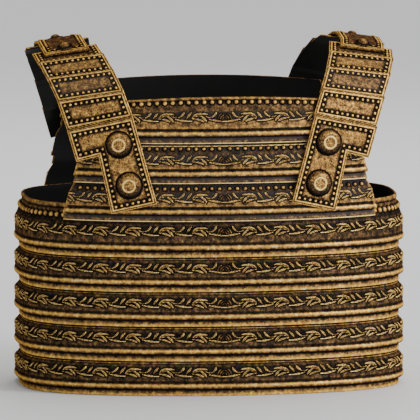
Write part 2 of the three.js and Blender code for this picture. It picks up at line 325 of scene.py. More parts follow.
class Scroll:
    """The leaf scroll: one repeat drawn as tapered strokes, and a palmette at the front."""

    CELL = 0.16
    CENTRE = 18.3
    CURVE_STEPS = 25
    # Each stroke: points along it (mm, the baseline at 0), its greatest half width, where
    # along it that lies, its share of the full tone, and whether its middle is hollow. A
    # repeat runs to the centre.
    STROKES = (
        (((0.6, 0.0), (6.0, -1.6), (13.0, -2.6), (19.2, -2.3)), 1.3, 0.5, 1.0, True),
        (((0.2, 1.6), (4.4, 1.2), (7.6, 2.6), (10.2, 6.8)), 1.35, 0.85, 1.0, True),
        (((13.2, 0.8), (14.6, 2.4), (16.2, 5.0), (18.2, 6.7)), 1.5, 0.6, 1.0, True),
        (((19.4, 0.8), (21.6, 6.8), (28.0, 5.8), (36.0, 5.4)), 1.4, 0.6, 1.0, True),
        (((21.0, 2.2), (24.5, 3.6), (28.0, 3.6), (31.0, 3.0)), 0.65, 0.5, 1.0, False),
        (((19.0, 0.4), (23.0, 0.4), (27.0, -0.6), (31.6, -2.7)), 1.35, 0.7, 1.0, True),
        (((28.8, 3.2), (31.0, 2.0), (33.4, -0.2), (35.0, -2.7)), 1.55, 0.55, 1.0, True),
        (((33.4, 3.2), (35.0, 2.6), (36.4, 1.8), (37.8, 1.6)), 0.75, 0.5, 0.9, False),
    )
    # The palmette on the centre line, by the distance from it
    PALMETTE = (
        (((18.9, -0.2), (12.0, -1.6), (6.0, -2.7), (0.0, -2.9)), 1.3, 0.5, 0.9, True),
        (((18.1, 1.5), (14.3, 1.2), (11.1, 2.6), (9.2, 6.9)), 1.35, 0.85, 1.0, True),
        (((7.6, -0.4), (7.0, 1.8), (5.8, 4.6), (3.2, 5.6)), 1.1, 0.5, 0.56, False),
        (((5.0, -0.6), (4.6, 0.8), (3.4, 3.0), (0.8, 4.0)), 0.9, 0.5, 0.56, False),
        (((2.6, -0.8), (2.2, 0.0), (1.2, 1.2), (0.2, 2.0)), 0.7, 0.5, 0.56, False),
    )

    def __init__(self, repeat):
        self.repeat = repeat
        self.low, self.high = SCROLL_BAND
        self.leaf = self.draw(self.STROKES, repeat, (-repeat, 0, repeat))
        self.centre = self.draw(self.PALMETTE, self.CENTRE + 1, (0,))

    def draw(self, strokes, end, shifts):
        """Relief, tone, and the distance outside the strokes, on a raster of the band."""
        x = np.arange(0, end + self.CELL, self.CELL)
        y = np.arange(self.low, self.high + self.CELL, self.CELL)
        px, py = np.meshgrid(x, y)
        relief, tone = np.zeros_like(px), np.zeros_like(px)
        outside = np.full_like(px, 9.0)
        for points, width, widest, full, hollow in strokes:
            for shift in shifts:
                gap, along = self.nearest(px - shift, py, points)
                spread, tip, reach = STROKE_WIDTH
                swell = np.clip(1 - np.abs(along - widest) / reach, 0, 1)
                half = spread * width * (tip + (1 - tip) * swell)
                share = gap / half
                crest = np.sqrt(np.clip(1 - share ** 2, 0, 1))
                # A stroke's tone: its edges rubbed bright and painted with a highlight, a hollow
                # middle dark with painted shade.
                middle = HOLLOW_TONE if hollow else SOLID_TONE
                worn_and_lit = np.interp(share, CORE_SHARES, (middle, middle, *EDGE_TONES)) * full
                if hollow:
                    crest = crest * (1 - HOLLOW[0] * np.exp(-((share / HOLLOW[1]) ** 2)))
                tone = np.where(share < 1, np.maximum(tone, worn_and_lit), tone)
                relief = np.maximum(relief, crest)
                outside = np.minimum(outside, gap - half)
        return relief, tone, outside

    def nearest(self, px, py, points):
        """Distance to a cubic Bezier curve, and the share of it at the nearest point."""
        best = np.full_like(px, 99.0)
        along = np.zeros_like(px)
        for t in np.linspace(0, 1, self.CURVE_STEPS):
            weights = ((1 - t) ** 3, 3 * t * (1 - t) ** 2, 3 * t * t * (1 - t), t ** 3)
            cx = sum(w * p[0] for w, p in zip(weights, points))
            cy = sum(w * p[1] for w, p in zip(weights, points))
            gap = np.hypot(px - cx, py - cy)
            along = np.where(gap < best, t, along)
            best = np.minimum(best, gap)
        return best, along

    def look_up(self, raster, x, y):
        """Bilinear reading of a raster."""
        across = np.clip(x / self.CELL, 0, raster.shape[1] - 1.001)
        up = np.clip((y - self.low) / self.CELL, 0, raster.shape[0] - 1.001)
        c, r = across.astype(int), up.astype(int)
        fc, fr = across - c, up - r
        upper = raster[r + 1, c] * (1 - fc) + raster[r + 1, c + 1] * fc
        lower = raster[r, c] * (1 - fc) + raster[r, c + 1] * fc
        return lower * (1 - fr) + upper * fr

    def sample(self, place, height):
        """Relief, tone and distance outside at walks from a centre, at a height."""
        height = np.broadcast_to(height, place.shape)
        away = np.abs(place)
        phase = np.mod(self.CENTRE - away, self.repeat)
        near = away < self.CENTRE
        values = []
        for leaf, centre in zip(self.leaf, self.centre):
            running = self.look_up(leaf, phase, height)
            values.append(np.where(near, self.look_up(centre, away, height), running))
        return values


scroll = Scroll(0.5 * plan.girth / SCROLL_REPEATS)


def row(height, depth, tone, patina=0.0, fine=False, inside=False):
    """One line of a sheet's profile: where it runs and how it is finished."""
    return dict(height=height, depth=depth, tone=tone, patina=patina, fine=fine, inside=inside)


# Lines of a flange from the lower edge up: height, lift off the recess, tone and patina,
# for a hoop and for a chest or back plate. The tone paints a highlight near the lower edge
# and shade under the bead, where it falls to black.
HOOP_FLANGE = (
    (0, -0.5, 0.3, 0), (0.35, 0, 0.75, 0), (1.1, 0.1, 0.86, 0), (2.3, 0.05, 0.8, 0),
    (3.6, 0, 0.6, 0), (FLANGE - 3.2, 0, 0.4, 0), (FLANGE - 1.6, -0.1, 0.08, 0),
    (FLANGE - 0.1, -0.1, 0, 0),
)
PLATE_FLANGE = (
    (0, -0.5, 0.5, 0), (0.35, 0, 0.98, 0), (1.1, 0.1, 0.98, 0), (1.6, 0, 0.34, 0.3),
    (3.2, 0, 0.52, 0.4), (4.4, 0, 0.42, 0.9), (FLANGE - 2.2, 0, 0.3, 1),
    (FLANGE - 1.5, -0.1, 0.03, 0.3), (FLANGE - 0.1, -0.1, 0, 0),
)
# Lines over the bead: height, depth, and tone beyond the groove's. The groove over the bead
# and the lines just above it are dark with painted shade.
OVER_BEAD = ((0.5, -GROOVE, 0.0), (1.4, -0.4, 0.02), (2.6, 0.0, 0.08))
GROUND_START = 3.6
# The real colour and the painted light of each kind of sheet: the flange, the tones of the
# ground, of the groove over the bead, which is painted shade, and of the painted shade near
# the upper edge, and how grey the band is
HOOP_FINISH_AND_LIGHT = dict(flange=HOOP_FLANGE, ground=0.38, groove=0.12, shade=0.34, grey=0.0)
PLATE_FINISH_AND_LIGHT = dict(flange=PLATE_FLANGE, ground=0.64, groove=0.08, shade=0.15, grey=0.5)


def foot_rows(recess, finish_and_light):
    """The flange and the bead, from the lower edge up."""
    rows = [row(h, lift - recess, tone, grey) for h, lift, tone, grey in finish_and_light["flange"]]
    # Painted shade: black in the groove under the bead. The bead then takes a painted highlight
    # high on its round, with painted shade at its foot and top.
    rows.append(row(FLANGE, -GROOVE - 0.4, 0.0))
    for turn in np.linspace(0, math.pi, 11):
        rise = 0.5 * (1 - math.cos(turn))
        tone = float(np.interp(rise, *BEAD_TONES))
        depth = (BEAD_PROUD + GROOVE) * math.sin(turn) - GROOVE
        rows.append(row(FLANGE + BEAD * rise, depth, tone))
    top = FLANGE + BEAD
    rows += [row(top + h, depth, finish_and_light["groove"] + more) for h, depth, more in OVER_BEAD]
    rows.append(row(top + GROUND_START, 0.0, finish_and_light["ground"]))
    return rows


def band_rows(base, depth_at, ground, grey):
    """The fine lines of the scroll band, about a baseline."""
    heights = np.arange(base + SCROLL_BAND[0], base + SCROLL_BAND[1], SCROLL_STEP)
    return [row(h, depth_at(h), ground * float(np.interp(h - base, *LEAF_GROUND)),
                grey * float(np.interp(h - base, (-2.6, 0.0), (0, 1))), fine=True)
            for h in heights]


def inside_rows(recess, corners):
    """The inner face, from the top down to the lower edge."""
    rows = [row(h, d, 0.0, inside=True) for h, d in corners]
    rows.append(row(FLANGE + WALL, -WALL, 0.0, inside=True))
    rows.append(row(FLANGE + WALL, -recess - WALL, 0.0, inside=True))
    rows.append(row(0.0, -recess - WALL, 0.0, inside=True))
    return rows


def stepped_rows(recess, foot, slope, depth, base, finish_and_light, upper, top_rows):
    """A sheet that turns in over a slope above its face. upper lists lines on the slope."""
    def depth_at(height):
        return -depth * min(1.0, max(0.0, (height - foot) / slope))

    drop = WALL * math.tan(math.atan(depth / slope) / 2)
    grey = finish_and_light["grey"]
    rows = foot_rows(recess, finish_and_light) + band_rows(base, depth_at, finish_and_light["ground"], grey)
    rows += [row(h, depth_at(h) + lift, tone, grey if tone < 0.3 else 0.0)
             for h, lift, tone in upper]
    rows += top_rows
    return rows + inside_rows(recess, (
        (foot + slope - drop, -depth - WALL),
        (foot - drop, -WALL),
    ))


def tucked_rows(recess, pitch, shoulder, lap, base, finish_and_light, line):
    """A hoop or plate whose top is tucked behind the one above."""
    depth = recess + WALL + CLEARANCE
    ground, shade = finish_and_light["ground"], finish_and_light["shade"]
    # The thin line's tone is a painted highlight. Near the upper edge the tone falls to painted
    # shade, and to black under the piece above, where its shadow is painted.
    drop, worn_and_lit = line
    edge = pitch - drop
    upper = (
        (base + SCROLL_BAND[1] + 0.8, 0.0, 0.5 * (0.8 * ground + shade)),
        (edge - 2.7, 0.0, shade),
        (edge - 1.3, 0.0, 0.8 * shade),
        (edge - 0.8, -0.15, 0.02),
        (edge - 0.4, 0.12, worn_and_lit),
        (edge + 0.3, 0.12, 0.9 * worn_and_lit),
        (edge + 0.6, -0.1, 0.02),
        (pitch - CLEARANCE, 0.0, 0.0),
    )
    top = [
        row(pitch + lap, -depth, 0.0),
        row(pitch + lap, -depth - WALL, 0.0, inside=True),
    ]
    slope = shoulder - CLEARANCE
    return stepped_rows(recess, pitch - shoulder, slope, depth, base, finish_and_light, upper, top)


def rim_rows(depth, top, height):
    """A rolled edge, round outside, rubbed bright and painted with a highlight along its top, with
    painted shade at its foot.
    """
    rows = []
    for turn in np.linspace(0.12, 1, 8):
        angle = math.pi * turn
        rise = 0.5 * (1 - math.cos(angle))
        tone = RIM_SHINE * float(np.interp(rise, *RIM_TONES))
        rows.append(row(top - height * (1 - rise), RIM_PROUD * math.sin(angle) - depth, tone))
    rows.append(row(top - 0.2, -depth - WALL * 0.6, 0.7 * RIM_SHINE))
    rows.append(row(top - 0.6, -depth - WALL, 0.1, inside=True))
    return rows


def collar_rows(base):
    """The top hoop, whose slope carries a row of dots under the rolled rim."""
    foot_top = COLLAR_FOOT + COLLAR_SLOPE
    # The tone falls to black just under the rim, where shade is painted into the crease.
    upper = (
        (base + SCROLL_BAND[1] + 0.6, 0.0, 0.3),
        (base + SCROLL_BAND[1] + 2.4, 0.0, 0.16),
        (foot_top - 5.6, 0.0, 0.16),
        (foot_top - 3.6, 0.0, 0.4),
        (foot_top - 1.2, 0.0, 0.36),
        (foot_top - 0.4, -0.1, 0.02),
    )
    rim = rim_rows(COLLAR_RECESS, foot_top + RIM, RIM)
    return stepped_rows(
        HOOP_RECESS, COLLAR_FOOT, COLLAR_SLOPE, COLLAR_RECESS, base, HOOP_FINISH_AND_LIGHT, upper, rim)


def neck_rows(height, base):
    """The highest chest or back plate, which leans in to its rolled edge."""
    low, high = FLANGE + BEAD + 2 * GROOVE, height - NECK_RIM

    def depth_at(h):
        return -NECK_LEAN * min(1.0, max(0.0, (h - low) / (high - low)))

    ground, grey = PLATE_FINISH_AND_LIGHT["ground"], 0.5 * PLATE_FINISH_AND_LIGHT["grey"]
    rows = foot_rows(PLATE_RECESS, PLATE_FINISH_AND_LIGHT)
    below_band, top_of_band = base + SCROLL_BAND[0] - 1.5, base + SCROLL_BAND[1]
    rows.append(row(below_band, depth_at(below_band), 0.5))
    rows += band_rows(base, depth_at, ground, grey)
    # The tone darkens towards the rim and falls to black at its foot, where shade is painted into
    # the crease.
    for h, tone in (
        (top_of_band + 0.8, 0.38),
        (height - NECK_RIM - 5.4, 0.38),
        (height - NECK_RIM - 4.6, 0.24),
        (height - NECK_RIM - 0.8, 0.12),
        (height - NECK_RIM - 0.2, 0.0),
    ):
        rows.append(row(h, depth_at(h), tone))
    rows += rim_rows(NECK_LEAN, height, NECK_RIM)
    return rows + inside_rows(PLATE_RECESS, ())


def line_finish(r, place, base, proud):
    """Depth, tone and patina along one line of a profile. A fine line has the scroll."""
    depth = np.full(place.shape, r["depth"] + proud)
    tone = np.full(place.shape, r["tone"])
    patina = np.full(place.shape, float(r["patina"]))
    if r["fine"]:
        signed = (place + plan.girth / 2) % plan.girth - plan.girth / 2
        from_centre = np.minimum(np.abs(signed), plan.girth / 2 - np.abs(signed))
        # Inside a stroke the tone is its wear with a painted highlight and shade; round it the
        # ground fades into the dark line.
        relief, worn_and_lit, outside = scroll.sample(from_centre, r["height"] - base)
        sink, spread = SCROLL_SINK
        depth += SCROLL_RELIEF * relief - sink * np.exp(-((outside / spread) ** 2))
        halo = np.clip((SCROLL_HALO[0] - np.maximum(outside, 0)) / SCROLL_HALO[1], 0, 1)
        tone = np.where(outside < 0, worn_and_lit, tone * (1 - halo))
        patina *= np.clip(outside / PATINA_START, 0, 1)
    return depth, tone, patina


def sheet_draft(rows, base, foot, proud, half_width_at, arch):
    """Sweeps a profile round the body: a full hoop, or a plate between slanting ends."""
    closed = half_width_at is None
    top = max(r["height"] for r in rows)
    steps = GIRTH_STEPS if closed else PLATE_STEPS
    draft = Draft()
    starts = []
    for r in rows:
        count = steps * (FINE_STEPS if r["fine"] else 1)
        if closed:
            place = np.arange(count) * plan.girth / count
            end = 1.0
        else:
            end = plan.place_at(half_width_at(foot + r["height"]))
            place = np.linspace(-end, end, count + 1)
        depth, tone, patina = line_finish(r, place, base, proud)
        risen = max(0.0, (r["height"] - FLANGE - 2 * BEAD) / (top - FLANGE - 2 * BEAD))
        drop = arch * risen * (place / end) ** 2
        if not closed and not r["inside"]:
            edge = np.clip((end - np.abs(place)) / END_WEAR[0], 0, 1)
            tone = tone * edge + END_WEAR[1] * (1 - edge)
        starts.append(draft.count)
        points = plan.points(place, depth, foot + r["height"] - drop)
        draft.add(points, [], tone, patina)
    skin_rows(draft, rows, starts, steps, closed)
    return draft


def skin_rows(draft, rows, starts, steps, closed):
    """Faces between a profile's lines. Where a fine line meets a coarse one, each face
    takes in all the fine points of a step."""
    def line(i, step):
        """Points of line i over one step."""
        fine = FINE_STEPS if rows[i]["fine"] else 1
        total = steps * fine
        first = step * fine
        return [starts[i] + ((first + k) % total if closed else first + k)
                for k in range(fine + 1)]

    for low in range(len(rows)):
        high = (low + 1) % len(rows)
        slot = 1 if rows[low]["inside"] and rows[high]["inside"] else 0
        for step in range(steps):
            lower, upper = line(low, step), line(high, step)
            if len(lower) == len(upper):
                faces = [(lower[k], lower[k + 1], upper[k + 1], upper[k])
                         for k in range(len(lower) - 1)]
            else:
                faces = [(*lower, *upper[::-1])]
            draft.faces += faces
            draft.slots += [slot] * len(faces)
    if not closed:
        start = [line(i, 0)[0] for i in range(len(rows))]
        end = [line(i, steps - 1)[-1] for i in range(len(rows))]
        draft.faces += [tuple(start), tuple(end[::-1])]
        draft.slots += [0, 0]


# Rings of a dot from the ground up: radius and height as shares, and tone. The tone rises
# from the dark ring at the foot to a painted highlight on the crown.
DOT_RINGS = ((1.5, 0.0, 0.0), (1.12, 0.06, 0.0), (1.0, 0.16, 0.1), (0.88, 0.46, 0.45),
             (0.62, 0.78, 0.72), (0.3, 0.95, 0.85))


def turns(sides):
    """Angles of a circle's corners."""
    return np.arange(sides) * 2 * math.pi / sides


def circle(out, turn):
    """Unit vectors about a way out, at each turn."""
    side = np.cross((0.0, 0.0, 1.0), out)
    if np.linalg.norm(side) < 0.1:
        side = np.array([1.0, 0.0, 0.0])
    side = unit(side)
    return np.outer(np.cos(turn), side) + np.outer(np.sin(turn), np.cross(out, side))


def add_dots(draft, centres, outs, dots, sides=10):
    """Domed dots, each in a dark ring that is let into the sheet."""
    _, radius, share = dots
    turn = turns(sides)
    faces = grid_faces(len(DOT_RINGS), sides, closed=True)
    last = (len(DOT_RINGS) - 1) * sides
    faces += [(last + i, last + (i + 1) % sides, len(DOT_RINGS) * sides) for i in range(sides)]
    tones = share * np.array([*np.repeat([r[2] for r in DOT_RINGS], sides), 0.85])
    for centre, out in zip(centres, outs):
        ring = circle(out, turn) * radius
        points = [centre + ring * spread + out * rise * radius * DOT_HEIGHT
                  for spread, rise, _ in DOT_RINGS]
        points.append((centre + out * radius * DOT_HEIGHT).reshape(1, 3))
        draft.add(np.concatenate(points), faces, tones)


def girth_hoop(number):
    foot = (HOOPS - number) * HOOP_PITCH
    if number > 1:
        rows = tucked_rows(HOOP_RECESS, HOOP_PITCH, HOOP_SHOULDER, HOOP_LAP, HOOP_BASE,
                           HOOP_FINISH_AND_LIGHT, HOOP_LINE)
        return sheet_draft(rows, HOOP_BASE, foot, 0.0, None, 0.0)
    draft = sheet_draft(collar_rows(COLLAR_BASE), COLLAR_BASE, foot, 0.0, None, 0.0)
    count = round(plan.girth / COLLAR_DOTS[0])
    place = np.arange(count) * plan.girth / count
    height = foot + COLLAR_FOOT + COLLAR_DOT_SHARE * COLLAR_SLOPE
    centres = plan.points(place, -COLLAR_DOT_SHARE * COLLAR_RECESS, height)
    add_dots(draft, centres, plan.out(place, COLLAR_RECESS / COLLAR_SLOPE), COLLAR_DOTS)
    return draft


def body_plate(number, foot, height, arch):
    """A chest or back plate, with a row of dots mirrored about the centre line."""
    def half_width_at(z):
        return PLATE_HALF_WIDTH - PLATE_TAPER * (z - PLATE_FOOT)

    if number == 1:
        base, lean, top = NECK_BASE, NECK_LEAN, height - NECK_RIM
        rows = neck_rows(height, base)
        dots, seat = NECK_DOTS, NECK_DOT_SEAT
    else:
        base, lean, top = PLATE_BASE, PLATE_RECESS + WALL + CLEARANCE, height
        rows = tucked_rows(PLATE_RECESS, height, PLATE_SHOULDER, PLATE_LAP, base,
                           PLATE_FINISH_AND_LIGHT, PLATE_LINES[number])
        dots, seat = PLATE_DOTS, PLATE_DOT_SEAT
    draft = sheet_draft(rows, base, foot, PLATE_PROUD - FACET, half_width_at, arch)
    spacing, radius, _ = dots
    first, drop, inward, slope = seat
    dot_height = foot + top - drop
    limit = plan.place_at(half_width_at(dot_height)) - DOT_ROOM * radius
    half = np.arange(first, limit, spacing)
    place = np.concatenate([-half[::-1], half])
    fall = DOT_ARCH * arch * (place / limit) ** 2
    centres = plan.points(place, PLATE_PROUD - lean * inward, dot_height - fall)
    add_dots(draft, centres, plan.out(place, slope), dots)
    return draft


def seated_fore(across):
    """Where a strap's outer face lies when the strap rests on the beads of the front."""
    depth = PLATE_PROUD + BEAD_PROUD + CLEARANCE + STRAP_BOW_GAP
    place = np.array([plan.place_at(across)])
    return float(plan.points(place, depth, 0.0)[0, 1]) - STRAP_THICKNESS


def strap_joints():
    """Ends of each joint of the left front strap, on the outer face."""
    seat = seated_fore(STRAP_JOINTS[0][1] * HALF_WIDTH)
    joints = []
    for up, out, fore, turn, dip, span in STRAP_JOINTS:
        height = PLATE_FOOT + CHEST_RISE + up * CROWN_RISE
        inner = np.array([out * HALF_WIDTH, fore * seat, height])
        across = np.array([math.sqrt(1 - turn ** 2 - dip ** 2), turn, -dip])
        joints.append((inner, across, inner + across * span * STRAP_WIDTH))
    return joints


JOINTS = strap_joints()


class EndFrame:
    """Flat frame of an end plate: across from its top inner corner, along to its foot."""

    def __init__(self):
        self.origin, self.across, _ = JOINTS[0]
        foot = np.array([STRAP_FOOT_SPACING, seated_fore(STRAP_FOOT_SPACING),
                         PLATE_FOOT + STRAP_FOOT_RISE])
        along = foot - self.origin
        along = along - self.across * along.dot(self.across)
        self.length = float(np.linalg.norm(along))
        self.along = along / self.length
        self.out = unit(np.cross(self.along, self.across))

    def point(self, across, along, lift):
        """A point at lengths across and along, lifted off the outer face."""
        return self.origin + self.across * across + self.along * along + self.out * lift


END = EndFrame()

# The border of a strap plate: inset from the edge, lift, and tone
BORDER = (
    (0, -0.9, 0.66), (0.6, -0.4, 0.8), (1.1, -0.4, 0.3), (1.8, -0.2, 0.26), (2.3, 0, 0.82),
    (3.2, 0, 0.88), (3.6, -0.1, 0.42), (4.3, -0.5, 0.08), (6.6, -0.5, 0.05),
    (8.8, -0.5, 0.12), (10.2, -0.25, 0.4), (11.6, -0.2, 1.0),
)
DOT_INSET = 6.6
DOT_LIFT = -0.45
GREY_INSET = 3.2
# The side of a plate: depth as a share of the thickness, and tone. Its lower part is black,
# a painted shadow under the plate.
SIDE = ((1.0, 0.0), (0.75, 0.2), (0.6, 0.5))
# Tones of the fields of an end plate and of a top plate
FIELD_TONE = 0.56
TOP_FIELD_TONE = 0.32


def border_at(inset, field):
    """Lift and tone of a bordered plate at an inset from its edge."""
    knots = [b[0] for b in BORDER]
    tones = [b[2] for b in BORDER[:-1]] + [field]
    return np.interp(inset, knots, [b[1] for b in BORDER]), np.interp(inset, knots, tones)


def add_panel(draft, width, length, place, thickness, field, splits, hidden=0.0, grey=0.0):
    """A four-sided plate with a raised border on all sides. place(a, b, lift) takes
    lengths across and along, and gives points. The last part is hidden under the next
    plate, so the lower border stops short of it. splits divide the field each way."""
    inset = [b[0] for b in BORDER]
    shown = length - hidden

    def knots(size, rest, split):
        middle = np.linspace(inset[-1], size - inset[-1], split + 1)[1:-1]
        return np.concatenate([inset, middle, [size - i for i in inset[::-1]], rest])

    a = knots(width, [], splits[0])
    b = knots(shown, [length] if hidden else [], splits[1])
    grid_a, grid_b = np.meshgrid(a, b)
    edge = np.minimum(np.minimum(grid_a, width - grid_a), np.minimum(grid_b, shown - grid_b))
    lift, tone = border_at(np.maximum(edge, 0), field)
    rows, columns = grid_a.shape
    flat_a, flat_b = grid_a.ravel(), grid_b.ravel()
    faces = grid_faces(rows, columns)
    patina = grey * np.clip(edge - GREY_INSET, 0, 1)
    draft.add(place(flat_a, flat_b, lift.ravel()), faces, tone.ravel(), patina.ravel())
    under = [face[::-1] for face in faces]
    draft.add(place(flat_a, flat_b, np.full(flat_a.shape, -thickness)), under, 0.0, slot=1)
    ring = list(range(columns))
    ring += [r * columns + columns - 1 for r in range(1, rows)]
    ring += [(rows - 1) * columns + c for c in range(columns - 2, -1, -1)]
    ring += [r * columns for r in range(rows - 2, 0, -1)]
    rim_a, rim_b = flat_a[ring], flat_b[ring]
    steps = [(-share * thickness, tone) for share, tone in SIDE] + [BORDER[0][1:]]
    walls = [place(rim_a, rim_b, np.full(rim_a.shape, depth)) for depth, _ in steps]
    tones = np.repeat([tone for _, tone in steps], len(ring))
    draft.add(np.concatenate(walls), grid_faces(len(steps), len(ring), closed=True), tones)


# Twisted bands: lines across, step along, length of a twist, how far a strand runs on over
# the width, room at the ends and at the plate's edge, and lifts of the foot and the crown
ROPE_ROWS = 7
ROPE_STEP = 0.5
ROPE_PITCH = 4.6
ROPE_TWIST = 1.3
ROPE_ROOM = 0.9
ROPE_EDGE = 0.2
ROPE_LIFTS = (-0.3, 0.5)


def add_rope(draft, place, low, high):
    """A twisted band across a strap, between two lengths along it."""
    start, end = ROPE_ROOM, STRAP_WIDTH - ROPE_ROOM
    count = int((end - start) / ROPE_STEP) + 1
    grid_a, share = np.meshgrid(np.linspace(start, end, count), np.linspace(0, 1, ROPE_ROWS))
    round_over = np.sin(math.pi * share)
    phase = grid_a / ROPE_PITCH + ROPE_TWIST * share
    strand = 0.5 + 0.5 * np.cos(2 * math.pi * phase)
    lift = ROPE_LIFTS[0] + ROPE_LIFTS[1] * round_over * (0.5 + 0.5 * strand)
    tone = (0.12 + 0.78 * strand ** 1.4) * (0.35 + 0.65 * round_over)
    b = low + (high - low) * share
    points = place(grid_a.ravel(), b.ravel(), lift.ravel())
    draft.add(points, grid_faces(ROPE_ROWS, count), tone.ravel())


def dot_corners(width, length):
    """Corners of the line of dots inside a four-sided border."""
    a0, a1 = DOT_INSET, width - DOT_INSET
    b0, b1 = DOT_INSET, length - DOT_INSET
    return np.array([(a0, b0), (a1, b0), (a1, b1), (a0, b1)])


def add_fine_dots(draft, corners, place, out):
    """Small dots, evenly spaced from each corner to the next."""
    places = []
    for start, end in zip(corners, np.roll(corners, -1, axis=0)):
        steps = max(1, round(np.linalg.norm(end - start) / FINE_DOTS[0]))
        places += [start + (end - start) * k / steps for k in range(steps)]
    a, b = np.array(places).T
    centres = place(a, b, np.full(len(a), DOT_LIFT))
    add_dots(draft, centres, np.broadcast_to(out, centres.shape), FINE_DOTS, FINE_DOT_SIDES)


def strap_plate_frames():
    """For each strap plate: its two lower and two upper corners, and the ways out."""
    frames = []
    out, down_inner, down_outer = END.out, END.along, END.along
    for (low_inner, _, low_outer), (inner, across, outer) in zip(JOINTS[:-1], JOINTS[1:]):
        sunk = -out * (STRAP_THICKNESS + STRAP_LAP_GAP)
        low = (low_inner + sunk, low_outer + sunk)
        tail = (low[0] + down_inner * STRAP_LAP, low[1] + down_outer * STRAP_LAP)
        before = out
        down_inner, down_outer = unit(low[0] - inner), unit(low[1] - outer)
        out = unit(np.cross(unit(down_inner + down_outer), across))
        frames.append(dict(tail=tail, low=low, high=(inner, outer), before=before, out=out))
    return frames


STRAP_FRAMES = strap_plate_frames()


# For each strap plate: tone and patina of its field, how far its lower border reaches past
# the joint, and the widths of the ropes on its upper border and along the joint
STRAP_FINISHES = (
    (0.54, 0.0, -0.4, 1.9, 2.8),
    (0.54, 0.45, 1.2, 2.6, 0.0),
    (0.57, 0.15, 2.2, 0.0, 0.0),
    (0.36, 0.0, 2.4, 0.0, 0.0),
)
END_ROPE = 1.9


def strap_plate_draft(plate, field, grey, shown, rope, foot_rope):
    """A lapped plate of the strap, whose tail lies under the plate below it."""
    (tail_in, tail_out), (low_in, low_out) = plate["tail"], plate["low"]
    high_in, high_out = plate["high"]
    length = 0.5 * (np.linalg.norm(high_in - low_in) + np.linalg.norm(high_out - low_out))
    before, out = plate["before"], plate["out"]

    def place(a, b, lift):
        """Across from the inner edge, along from the upper edge down to the tail."""
        down = np.clip(b / length, 0, 1)[:, None]
        past = np.clip((b - length) / STRAP_LAP, 0, 1)[:, None]
        body_in = high_in + (low_in - high_in) * down + (tail_in - low_in) * past
        body_out = high_out + (low_out - high_out) * down + (tail_out - low_out) * past
        normal = out + (before - out) * down
        return body_in + (body_out - body_in) * (a / STRAP_WIDTH)[:, None] + normal * lift[:, None]

    draft = Draft()
    add_panel(draft, STRAP_WIDTH, length + STRAP_LAP, place, STRAP_THICKNESS, field,
              (3, 2), hidden=STRAP_LAP - shown, grey=grey)
    if rope:
        add_rope(draft, place, ROPE_EDGE, ROPE_EDGE + rope)
    if foot_rope:
        add_rope(draft, place, length + ROPE_EDGE - foot_rope, length + ROPE_EDGE)
    add_fine_dots(draft, dot_corners(STRAP_WIDTH, length + shown), place, out)
    return draft


def inset_outline(corners, inset):
    """The outline moved in by an inset, with mitred corners. Corners run clockwise when
    along points down."""
    points = np.array(corners, float)
    result = []
    count = len(points)
    for i in range(count):
        before = unit(points[i] - points[i - 1])
        after = unit(points[(i + 1) % count] - points[i])
        in_before = np.array([-before[1], before[0]])
        in_after = np.array([-after[1], after[0]])
        mitre = unit(in_before + in_after)
        result.append(points[i] + mitre * inset / mitre.dot(in_before))
    return np.array(result)


# Lines of the dark ring round a boss: radius, lift and tone. The ring is painted shade
# round the boss's foot.
BOSS_RING = (
    (BOSS_RADIUS - 2.0, -0.05, 0.0),
    (BOSS_RADIUS + 1.1, -0.05, 0.0),
    (BOSS_RADIUS + 1.9, -0.08, 0.3),
    (BOSS_RADIUS + 2.3, -0.25, 0.5),
)


def add_boss_ring(draft, across, down, sides=40):
    """The dark ring on the end plate round a boss: painted shade round its foot."""
    points = [
        END.point(across + radius * math.cos(angle), down + radius * math.sin(angle), lift)
        for radius, lift, _ in BOSS_RING for angle in turns(sides)
    ]
    faces = [face[::-1] for face in grid_faces(len(BOSS_RING), sides, closed=True)]
    draft.add(points, faces, np.repeat([tone for _, _, tone in BOSS_RING], sides))


def end_plate_draft():
    """The end plate: rings of its outline, each further in, then the field and the back."""
    corners = [(a * STRAP_WIDTH, b * END.length) for a, b in END_PLATE]
    count = len(corners)
    draft = Draft()
    rings = [(0.0, -STRAP_THICKNESS, 0.2), *BORDER[:-1], (*BORDER[-1][:2], FIELD_TONE)]
    points = [END.point(a, b, lift) for inset, lift, _ in rings
              for a, b in inset_outline(corners, inset)]
    faces = grid_faces(len(rings), count, closed=True)
    last = (len(rings) - 1) * count
    faces.append(tuple(range(last, last + count)))
    draft.add(points, faces, np.repeat([tone for _, _, tone in rings], count))
    for across, down in BOSS_PLACES.values():
        add_boss_ring(draft, across * STRAP_WIDTH, down * END.length)

    def place(a, b, lift):
        return END.point(a[:, None], b[:, None], lift[:, None])

    add_rope(draft, place, ROPE_EDGE, ROPE_EDGE + END_ROPE)
    back = [END.point(a, b, -STRAP_THICKNESS) for a, b in corners]
    draft.add(back, [tuple(range(count))[::-1]], 0.0, slot=1)
    add_fine_dots(draft, inset_outline(corners, DOT_INSET), place, END.out)
    return draft


def top_plate_sections():
    """Inner and outer points of the top plate's upper face, from front to back."""
    last = STRAP_FRAMES[-1]
    lift = last["out"] * (CLEARANCE + TOP_THICKNESS)
    start, end = TOP_INSET / STRAP_WIDTH, (TOP_INSET + TOP_WIDTH) / STRAP_WIDTH

    def section(share):
        inner = last["high"][0] + (last["low"][0] - last["high"][0]) * share
        outer = last["high"][1] + (last["low"][1] - last["high"][1]) * share
        return (inner + (outer - inner) * start + lift, inner + (outer - inner) * end + lift)

    front = [section(TOP_REACH), section(0.0)]
    flip = np.array([1.0, -1.0, 1.0])
    back = [(i * flip, o * flip) for i, o in front[::-1]]
    rise = np.array([0.0, 0.0, TOP_BOW])
    crown = tuple((front[1][k] + back[0][k]) / 2 + rise for k in range(2))
    return [*front, crown, *back]


TOP_SECTIONS = top_plate_sections()


